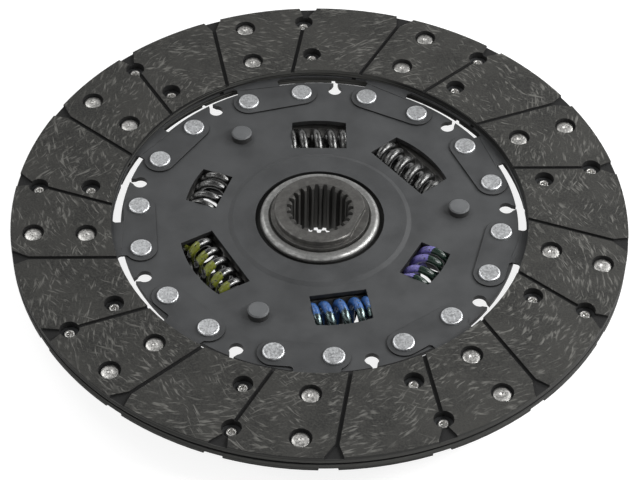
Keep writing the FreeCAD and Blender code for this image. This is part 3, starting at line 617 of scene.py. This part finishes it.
# A kind has its length, its turns, the radius of its wire, how much narrower its end coils are,
# and the share of its length that is left at either end of the hub's twist.
Kind = namedtuple("Kind", "length turns wire taper keep")
SPRING_KINDS = {
    "long": Kind(30.1 * MM, 5.5, 1.75 * MM, 0.55 * MM, 0.752),
    "medium": Kind(21.8 * MM, 4.25, 1.70 * MM, 0.25 * MM, 0.657),
    "short": Kind(18.1 * MM, 3.5, 1.60 * MM, 0.22 * MM, 0.586),
}

# A spring has its number, its kind, its place round the disc in degrees, and how far it has
# turned about itself, in turns.
SPRINGS = (
    (1, "long", 40.85, 0.5),
    (2, "medium", 91.15, 0.5),
    (3, "short", 160.85, 0.5),
    (4, "long", 211.15, 0.0),
    (5, "medium", 280.85, 0.5),
    (6, "short", 331.15, 0.5),
)

# The turns at each end that lie closer, the gap between them, and how softly the pitch changes.
CLOSED_TURNS = 0.75
CLOSED_GAP = 0.35 * MM
KNEE_SOFTNESS = 0.02

# The wire goes on past its ends for these turns, which are then ground away.
RUN_OUT = 0.12
STEPS_A_TURN = 44
WIRE_SIDES = 18
SHORT_TURN = 0.01

# The painted springs. Metal is 1 where the rest of the wire is bare, and 0 where it is lacquered.
Paint = namedtuple("Paint", "slot color band steel metal")
SPRING_PAINTS = {
    4: Paint("spring_olive_paint", OLIVE, (0.8, 5.2), SPRING_STEEL, 1.0),
    5: Paint("spring_blue_paint", BLUE, (-9.0, 2.0), GREEN_STEEL, 1.0),
    6: Paint("spring_violet_paint", VIOLET, (-9.0, -0.4), GREEN_LACQUER, 0.0),
}


def wire_rise(kind, turn):
    """How far the wire has come along the spring after this many turns. Its end coils lie
    closer, and the pitch changes over softly."""
    closed_pitch = 2 * kind.wire + CLOSED_GAP
    open_turns = kind.turns - 2 * CLOSED_TURNS
    open_pitch = (kind.length - 2 * CLOSED_TURNS * closed_pitch) / open_turns
    rise = turn * closed_pitch
    for knee, sign in ((CLOSED_TURNS, 1), (kind.turns - CLOSED_TURNS, -1)):
        past = turn - knee
        soft = 0.5 * (past + math.sqrt(past * past + KNEE_SOFTNESS))
        rise += sign * soft * (open_pitch - closed_pitch)
    return rise


def wire_loop(shape, kind, turn, start):
    """The vertices round the wire after this many turns. The coil lies along Y, its middle at
    the origin."""
    angle = math.tau * (turn + start)
    outward = Vector((math.cos(angle), 0, -math.sin(angle)))
    half = wire_rise(kind, kind.turns / 2)
    rise = wire_rise(kind, turn) - half
    ahead = wire_rise(kind, turn + SHORT_TURN) - half
    ring = COIL_RADIUS - kind.wire - kind.taper * (2 * rise / kind.length) ** 2
    slope = (ahead - rise) / (SHORT_TURN * math.tau * ring)
    forward = Vector((-math.sin(angle), slope, -math.cos(angle)))
    side = outward.cross(forward).normalized()
    middle = outward * ring + Vector((0, rise, 0))
    return [
        shape.verts.new(
            middle
            + outward * kind.wire * math.cos(math.tau * k / WIRE_SIDES)
            + side * kind.wire * math.sin(math.tau * k / WIRE_SIDES)
        )
        for k in range(WIRE_SIDES)
    ]


def grind_ends(shape, length):
    """Cuts a coil flat at both ends, as its grinding does."""
    for end in (-1, 1):
        cut = bmesh.ops.bisect_plane(
            shape,
            geom=shape.verts[:] + shape.edges[:] + shape.faces[:],
            plane_co=(0, end * length / 2, 0),
            plane_no=(0, end, 0),
            clear_outer=True,
        )
        edges = [item for item in cut["geom_cut"] if isinstance(item, bmesh.types.BMEdge)]
        bmesh.ops.holes_fill(shape, edges=edges)


def coil_mesh(name, kind, start):
    """A coil of round wire, ground flat at both ends. Start is how far it has turned about
    itself, in turns."""
    steps = round((kind.turns + 2 * RUN_OUT) * STEPS_A_TURN)
    shape = bmesh.new()
    loops = []
    for step in range(steps + 1):
        turn = -RUN_OUT + (kind.turns + 2 * RUN_OUT) * step / steps
        loops.append(wire_loop(shape, kind, turn, start))
    join_loops(shape, loops)
    close_ends(shape, loops)
    grind_ends(shape, kind.length)
    return make_mesh(shape, name)


def make_springs():
    bare = bare_spring_material("coil_steel", SPRING_STEEL)
    for number, kind_name, degrees, start in SPRINGS:
        kind = SPRING_KINDS[kind_name]
        turn = Matrix.Rotation(math.radians(degrees), 4, "Z")
        outward = turn @ Vector((1, 0, 0))
        middle = outward * SPRING_RING + Vector((0, 0, SPRING_LEVEL))
        data = coil_mesh(f"coil_{number}", kind, start)
        data.transform(Matrix.Translation(middle) @ turn)
        data.set_sharp_from_angle(angle=SHARP_FROM)
        coil = add_object(f"coil_{number}", data)
        if number in SPRING_PAINTS:
            paint = SPRING_PAINTS[number]
            slot = paint.slot
            skin = painted_spring_material(f"coil_{number}_paint", paint, middle, outward)
        else:
            slot, skin = "spring_steel", bare
        data.materials.append(skin)
        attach(coil, "springs")
        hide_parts(f"torsion_spring_{number}")
        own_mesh(coil)


# Lips of the rear windows

# Their angles, in degrees, go round the spring's middle: 0 is level and toward the disc's axis,
# and 90 is straight down. The inset is how far a lip's edges keep from the plate's faces.
LIP_CLEARANCE = 0.6 * MM
LIP_THICKNESS = 1.2 * MM
LIP_INSET = 0.15 * MM
LIP_ROOT_RADIUS = 37.4 * MM
LIP_LENGTH_SHARE = 0.7
LIP_ROOT_ANGLE = 33
LIP_END_ANGLE = 41
LIP_TIP_ANGLE = 66
LIP_SQUARENESS = 6
LIP_STATIONS = 14
LIP_STEPS = 6
PLATE_THICKNESS = 2.0 * MM


def lip_section(tip_angle, front):
    """A lip cut across: distances from the disc's axis and heights, from its root in the plate
    along the spring's side to its tip and back."""
    bend = [
        math.radians(LIP_ROOT_ANGLE + (tip_angle - LIP_ROOT_ANGLE) * step / LIP_STEPS)
        for step in range(LIP_STEPS + 1)
    ]
    near = COIL_RADIUS + LIP_CLEARANCE
    far = near + LIP_THICKNESS
    back = front - PLATE_THICKNESS
    points = [(LIP_ROOT_RADIUS, front - LIP_INSET)]
    points += [
        (SPRING_RING - near * math.cos(angle), SPRING_LEVEL - near * math.sin(angle))
        for angle in bend
    ]
    points += [
        (
            SPRING_RING - far * math.cos(angle),
            min(SPRING_LEVEL - far * math.sin(angle), back - LIP_INSET),
        )
        for angle in reversed(bend[2:])
    ]
    points.append((LIP_ROOT_RADIUS, back + LIP_INSET))
    return points


def add_lip(shape, turn, half, front):
    """One window's lip, from -half to half along its spring. It is deepest at its middle."""
    loops = []
    for station in range(LIP_STATIONS + 1):
        across = 2 * station / LIP_STATIONS - 1
        reach = math.sqrt(1 - abs(across) ** LIP_SQUARENESS)
        tip_angle = LIP_END_ANGLE + (LIP_TIP_ANGLE - LIP_END_ANGLE) * reach
        section = lip_section(tip_angle, front)
        places = [turn @ Vector((radius, across * half, height)) for radius, height in section]
        loops.append([shape.verts.new(place) for place in places])
    join_loops(shape, loops)
    close_ends(shape, loops)


def make_window_lips(material):
    """The inner edge of each rear window is turned out along its spring, which it holds."""
    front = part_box("counter_plate")[1][2]
    shape = bmesh.new()
    for _, kind_name, degrees, _ in SPRINGS:
        turn = Matrix.Rotation(math.radians(degrees), 4, "Z")
        add_lip(shape, turn, SPRING_KINDS[kind_name].length * LIP_LENGTH_SHARE / 2, front)
    data = make_mesh(shape, "counter_window_lips")
    data.set_sharp_from_angle(angle=SHARP_FROM)
    data.materials.append(material)
    lips = add_object("counter_window_lips", data)
    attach(lips, "disc")


# Camera

# Its values were found from the outlines of the disc in the photo, which is as large as the
# picture here. The disc's axis comes to lie at one pixel of it.
FOCAL_PX = 2203.2
VIEW_ELEVATION = 46.450
VIEW_ROLL = 1.172
VIEW_DISTANCE = 860.6 * MM
VIEW_TARGET = Vector((0, 0, 1.46 * MM))
IMAGE_WIDTH = 640
IMAGE_HEIGHT = 480
AXIS_PX = (319.81, 215.41)
SENSOR_MM = 36.0


def place_camera():
    data = bpy.data.cameras.new("camera")
    data.sensor_width = SENSOR_MM
    data.lens = FOCAL_PX / IMAGE_WIDTH * SENSOR_MM
    data.shift_x = (IMAGE_WIDTH / 2 - AXIS_PX[0]) / IMAGE_WIDTH
    data.shift_y = (AXIS_PX[1] - IMAGE_HEIGHT / 2) / IMAGE_WIDTH
    camera = add_object("camera", data)
    rise = math.radians(VIEW_ELEVATION)
    roll = math.radians(VIEW_ROLL)
    back = Vector((0, -math.cos(rise), math.sin(rise)))
    level = Vector((1, 0, 0))
    upward = Vector((0, math.sin(rise), math.cos(rise)))
    right = math.cos(roll) * level + math.sin(roll) * upward
    top = math.cos(roll) * upward - math.sin(roll) * level
    place = Matrix.LocRotScale(VIEW_TARGET + back * VIEW_DISTANCE, None, None)
    camera.matrix_world = place @ Matrix((right, top, back)).transposed().to_4x4()
    bpy.context.scene.camera = camera


# Lights and floor

# A panel has its name, place, size and watts. It faces the disc's middle.
PANELS = (
    ("front_right", (0.42, -0.16, 0.38), (0.18, 0.18), 1.7),
    ("back_right", (0.46, 0.42, 0.5), (0.25, 0.25), 1.1),
    ("side_right", (0.52, 0.08, 0.28), (0.2, 0.2), 1.4),
    ("back_left", (-0.45, 0.35, 0.75), (0.4, 0.3), 1.8),
    ("front_left", (-0.5, -0.3, 0.5), (0.12, 0.12), 0.5),
)
SKY_LIGHT = 0.45
FLOOR_SIZE = 6
FLOOR_COLOR = (0.3, 0.3, 0.3, 1)
FLOOR_GLOW = 0.85
WHITE = (1, 1, 1, 1)

# The sky that metal mirrors is white up to the height DIM_FROM, from 0 at the horizon to 1
# overhead, and dims to OVERHEAD at the height DIM_TO.
DIM_FROM = 0.25
DIM_TO = 0.75
OVERHEAD = 0.15


def add_panel(name, place, size, watts):
    data = bpy.data.lights.new(name, "AREA")
    data.shape = "RECTANGLE"
    data.size, data.size_y = size
    data.energy = watts
    panel = add_object(name, data)
    panel.location = place
    panel.rotation_euler = (-Vector(place)).to_track_quat("-Z", "Y").to_euler()


def seen_share(tree):
    """1 for rays that show the background itself: from the camera, or off metal or glass."""
    path = tree.nodes.new("ShaderNodeLightPath")
    share = path.outputs["Is Camera Ray"]
    for name in ("Is Glossy Ray", "Is Transmission Ray"):
        share = tree.math("MAXIMUM", share, path.outputs[name])
    return share


def shown_strength(tree):
    """White for the camera. What metal mirrors is white near the horizon and dim overhead."""
    place = tree.nodes.new("ShaderNodeTexCoord").outputs["Generated"]
    dimmed = tree.spread(tree.parts(place)[2], DIM_FROM, DIM_TO, 1.0, OVERHEAD)
    path = tree.nodes.new("ShaderNodeLightPath")
    return tree.math("MAXIMUM", dimmed, path.outputs["Is Camera Ray"])


def make_world():
    """A white sky that lights the disc softly."""
    world = bpy.data.worlds.new("studio")
    world.use_nodes = True
    bpy.context.scene.world = world
    tree = Tree(world.node_tree)
    lighting = tree.nodes["Background"]
    lighting.inputs["Color"].default_value = WHITE
    lighting.inputs["Strength"].default_value = SKY_LIGHT
    shown = tree.nodes.new("ShaderNodeBackground")
    shown.inputs["Color"].default_value = WHITE
    tree.feed(shown.inputs["Strength"], shown_strength(tree))
    sky = tree.mix_shaders(seen_share(tree), lighting.outputs[0], shown.outputs[0])
    tree.feed(tree.nodes["World Output"].inputs["Surface"], sky)


def floor_material():
    """White where it is seen, but for the disc's shadow, and clear from below."""
    material = bpy.data.materials.new("floor")
    material.use_nodes = True
    tree = Tree(material.node_tree)
    shader = tree.nodes["Principled BSDF"]
    shader.inputs["Base Color"].default_value = FLOOR_COLOR
    shader.inputs["Roughness"].default_value = 0.9
    shader.inputs["Specular IOR Level"].default_value = 0.0
    shader.inputs["Emission Color"].default_value = WHITE
    glow = tree.times(seen_share(tree), FLOOR_GLOW)
    tree.feed(shader.inputs["Emission Strength"], glow)
    clear = tree.nodes.new("ShaderNodeBsdfTransparent")
    side = tree.nodes.new("ShaderNodeNewGeometry")
    both = tree.mix_shaders(side.outputs["Backfacing"], shader.outputs[0], clear.outputs[0])
    tree.feed(tree.nodes["Material Output"].inputs["Surface"], both)
    return material


def make_floor():
    """A floor under the lowest point of the disc, which stands on its hub."""
    bpy.ops.mesh.primitive_plane_add(size=FLOOR_SIZE, location=(0, 0, cad_box[0][2]))
    floor = bpy.context.object
    floor.name = "floor"
    floor.data.materials.append(floor_material())
    floor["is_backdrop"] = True


def write_sizes():
    boxes = {"cad_box": cad_box, "visual_box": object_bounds()}
    lists = {name: [list(corner) for corner in box] for name, box in boxes.items()}


place_camera()
make_world()
make_floor()
for panel in PANELS:
    add_panel(*panel)
plate_steel = plate_material("plate", dark=0.045, light=0.065)
dress_frame(plate_steel)
make_window_lips(plate_steel)
make_lining_rivets()
make_springs()
bpy.context.scene.view_settings.view_transform = "Standard"
write_sizes()
